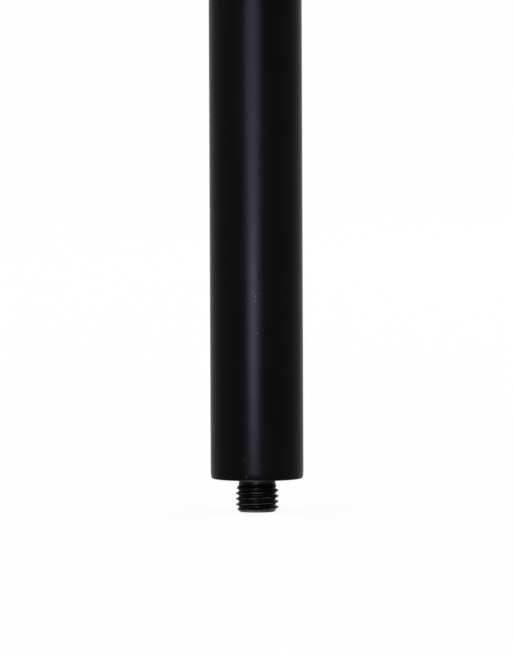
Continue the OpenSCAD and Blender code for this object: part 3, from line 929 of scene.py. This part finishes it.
def build_clamp_knob():
    """The five-lobed knob with rolled edges, its neck, and the seat of its cap."""
    place, roll, limit, steps = at_side(CLAMP_Z), 4.0, 0.15, 8
    start, neck_r, seat_r, face_r = 48.0, 11.0, 11.5, 12.0
    neck = [(9.4, start), (9.8, 48.17), (10.0, 48.6), (10.0, 51.8), (10.25, 52.5), (neck_r, KNOB_BACK)]
    face = [(face_r, KNOB_FRONT), (seat_r + 0.1, KNOB_FRONT - 0.15), (seat_r, KNOB_FRONT - 0.5)]
    across, head_start, head_end = 16.0, 56.0, CAP_SEAT + 1

    def plain(radius):
        return lambda a: radius

    def star(inset):
        return lambda a: star_radius(a, inset)

    def back_face(share):
        return lambda a: neck_r + (star_radius(a, roll) - limit - neck_r) * share

    def front_face(share):
        return lambda a: star_radius(a, roll) * (1 - share) + face_r * share

    rings = [(None, start)] + [(plain(radius), height) for radius, height in neck]
    rings += [(back_face(share), KNOB_BACK) for share in (0.25, 0.5, 0.75, 1.0)]
    for k in range(1, steps + 1):
        u = math.pi / 2 * k / steps
        inset = roll * (1 - math.sin(u)) + limit * math.cos(u)
        rings.append((star(inset), KNOB_BACK + roll * (1 - math.cos(u))))
    for k in range(steps + 1):
        u = math.pi / 2 * k / steps
        inset = roll * (1 - math.cos(u)) + limit * math.sin(u)
        rings.append((star(inset), KNOB_FRONT - roll + roll * math.sin(u)))
    rings += [(front_face(share), KNOB_FRONT) for share in (0.25, 0.5, 0.75)]
    rings += [(plain(radius), height) for radius, height in face]
    rings += [(plain(seat_r), CAP_SEAT), (None, CAP_SEAT)]
    knob = lathe_by_ring("star_grip", rings, place, 300)
    rod_hole = bar(CLAMP_ROD_R + 0.02, start - 1, head_start + 1, place)
    head_hole = link_mesh("tool", *hexagon(across, head_start, head_end, place))
    return combine(knob, [rod_hole, head_hole], "DIFFERENCE")


def build_knob_cap():
    """The low domed cap in the middle of the knob."""
    radius, edge, middle = 11.4, 68.9, 69.2
    outline = rounded([(0, CAP_SEAT), (radius, CAP_SEAT, 0.3), (radius, edge, 1.0), (0, middle)], 8)
    return lathe("grip_cap", outline, at_side(CLAMP_Z))


def build_sleeve():
    """The plunger's threaded sleeve with its stepped bore."""
    place, pitch, depth = at_side(PLUNGER_Z, MINUS_X_AXIS), 1.5, 0.8
    start, start_r, end_r = 21.5, 6.3, 6.5
    pin_bore_r, spring_bore_r, spring_seat = 4.08, 5.5, 30
    inside, outside = start - 1.5, SLEEVE_END + 2

    def envelope(x):
        return min(SLEEVE_R, start_r + (x - start), end_r + (SLEEVE_END - x))

    sleeve = thread(
        "plunger_barrel", SLEEVE_R, pitch, depth, start, SLEEVE_END, envelope, place, count=96)
    bores = [
        bar(pin_bore_r, inside, outside, place), bar(spring_bore_r, spring_seat, outside, place)]
    return combine(sleeve, bores, "DIFFERENCE")


def build_locknut():
    """The chamfered nut that locks the sleeve in the collar."""
    place, across, outer, slope = at_side(PLUNGER_Z, MINUS_X_AXIS), 19.0, 39.0, 0.5
    nut = prism("sleeve_nut", across, PLUNGER_BOSS_X, outer, slope, place)
    hole = bar(SLEEVE_R, PLUNGER_BOSS_X - 3, outer + 3, place)
    return combine(nut, [hole], "DIFFERENCE", 20)


def build_end_cap():
    """The knurled cap that closes the sleeve around the plunger's rod."""
    bore_r, inner_r, inner, outer = 2.58, 5.5, 48.0, 56.0
    knurl_r, knurl_low, knurl_high, teeth, cut = 6.5, 52.6, 55.0, 40, 0.14

    def knurl(r, h, a):
        if r < knurl_r or not knurl_low < h < knurl_high:
            return r
        return r - cut * (1 + math.cos(teeth * a))

    outline = rounded([
        (bore_r, inner), (inner_r, inner, 0.3), (inner_r, SLEEVE_END), (SLEEVE_R, SLEEVE_END, 0.3),
        (SLEEVE_R, knurl_low + 0.1), (SLEEVE_R, knurl_high - 0.1), (SLEEVE_R, outer, 0.8),
        (bore_r, outer, 0.3)], 4)
    return lathe("sleeve_cap", outline, at_side(PLUNGER_Z, MINUS_X_AXIS), 320, knurl)


def build_pin():
    """The plunger's pin, its shoulder and its rod, held out."""
    tip, tip_r, taper, pin_r = 19.0, 3.0, 1.5, 4.0
    shoulder_r, inner, outer = 5.42, 37.3, 40.3
    outline = rounded([
        (0, tip), (tip_r, tip, 0.8), (pin_r, tip + taper, 1.0), (pin_r, inner),
        (shoulder_r, inner, 0.3), (shoulder_r, outer, 0.3), (ROD_R, outer), (ROD_R, ROD_END),
        (0, ROD_END)])
    return lathe("lock_pin", outline, at_side(PLUNGER_Z, MINUS_X_AXIS), 96)


def build_pull_knob():
    """The plunger's pull knob with finger flutes and a dished front."""
    grip_r, neck_r, face_r, dish_r = 13.0, 7.0, 5.6, 4.6
    neck, back, front, dish = 64.0, 68.0, 81.0, 80.3
    flute_count, flute, flute_from, flute_over = 12, 0.8, 9.0, 3.0

    def flutes(r, h, a):
        depth = flute * max(0.0, min(1.0, (r - flute_from) / flute_over))
        return r - depth * (0.5 + 0.5 * math.cos(flute_count * a)) ** 2

    side = [(grip_r, h) for h in (71.5, 73.0, 74.5)]
    outline = rounded([
        (0, ROD_END), (ROD_R, ROD_END), (ROD_R, neck), (neck_r, neck, 0.7), (neck_r, back, 0.6),
        (grip_r, back, 3.0), *side, (grip_r, front, 5.9), (face_r, front, 0.8),
        (dish_r, dish, 0.6), (0, dish)], 10)
    return lathe("pull_grip", outline, at_side(PLUNGER_Z, MINUS_X_AXIS), 288, flutes)


def build_spring():
    """The coil around the rod, pressed short while the pin is held out."""
    wire_r, coil_r, turns, start, end = 0.6, 4.5, 5.0, 41.25, 47.4
    place, steps, sides = at_side(PLUNGER_Z, MINUS_X_AXIS), 240, 12
    slope = (end - start) / (TURN * turns * coil_r)
    verts, faces = [], []
    for i in range(steps + 1):
        a = TURN * turns * i / steps
        out = Vector((math.cos(a), math.sin(a), 0))
        along = Vector((-math.sin(a), math.cos(a), slope)).normalized()
        third = along.cross(out)
        middle = out * coil_r + Vector((0, 0, start + (end - start) * i / steps))
        for k in range(sides):
            b = TURN * k / sides
            verts.append(place @ (middle + wire_r * (out * math.cos(b) + third * math.sin(b))))
    for i in range(steps):
        for k in range(sides):
            n = (k + 1) % sides
            p, q = i * sides, (i + 1) * sides
            faces.append((p + k, p + n, q + n, q + k))
    faces += [tuple(range(sides)), tuple(steps * sides + k for k in range(sides))]
    return link_mesh("lock_spring", verts, faces, 60)


def build_pieces(made):
    """Every finished piece: its maker, its body, the CAD node it stands for and its slot."""
    rows = [
        (build_lower_tube, "lower", "lower_tube", "powder_coat"),
        (build_stud, "lower", "threaded_plug", "black_steel"),
        (build_collar, "lower", "clamp_collar", "cast_black"),
        (build_collar_screws, "lower", "collar_screws", "dark_steel"),
        (build_collar_ring, "lower", "collar_ring", "trim_plastic"),
        (build_insert, "lower", "screw_insert", "brass"),
        (build_sleeve, "lower", "plunger_sleeve", "zinc_steel"),
        (build_locknut, "lower", "plunger_locknut", "zinc_steel"),
        (build_end_cap, "lower", "plunger_end_cap", "zinc_steel"),
        (build_upper_tube, "upper", "upper_tube", "powder_coat"),
        (build_top_cap, "upper", "top_cap", "trim_plastic"),
        (build_clamp_screw, "knob", "clamp_screw", "zinc_steel"),
        (build_clamp_knob, "knob", "clamp_knob", "knob_plastic"),
        (build_knob_cap, "knob", "knob_cap", "cap_plastic"),
        (build_pin, "plunger", "plunger_pin", "zinc_steel"),
        (build_pull_knob, "plunger", "plunger_knob", "knob_plastic"),
    ]
    for make, body, node, slot in rows:
        dress(make(), body, node, slot, made)
    spring = build_spring()
    spring.data.materials.append(made["spring_steel"])
    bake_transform(spring)
    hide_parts("plunger_spring")


build_camera()
build_world()
build_floor()
build_lamps()
MADE = build_materials()
paint_cad_nodes(MADE)
build_pieces(MADE)

bpy.context.scene.view_settings.view_transform = "Standard"
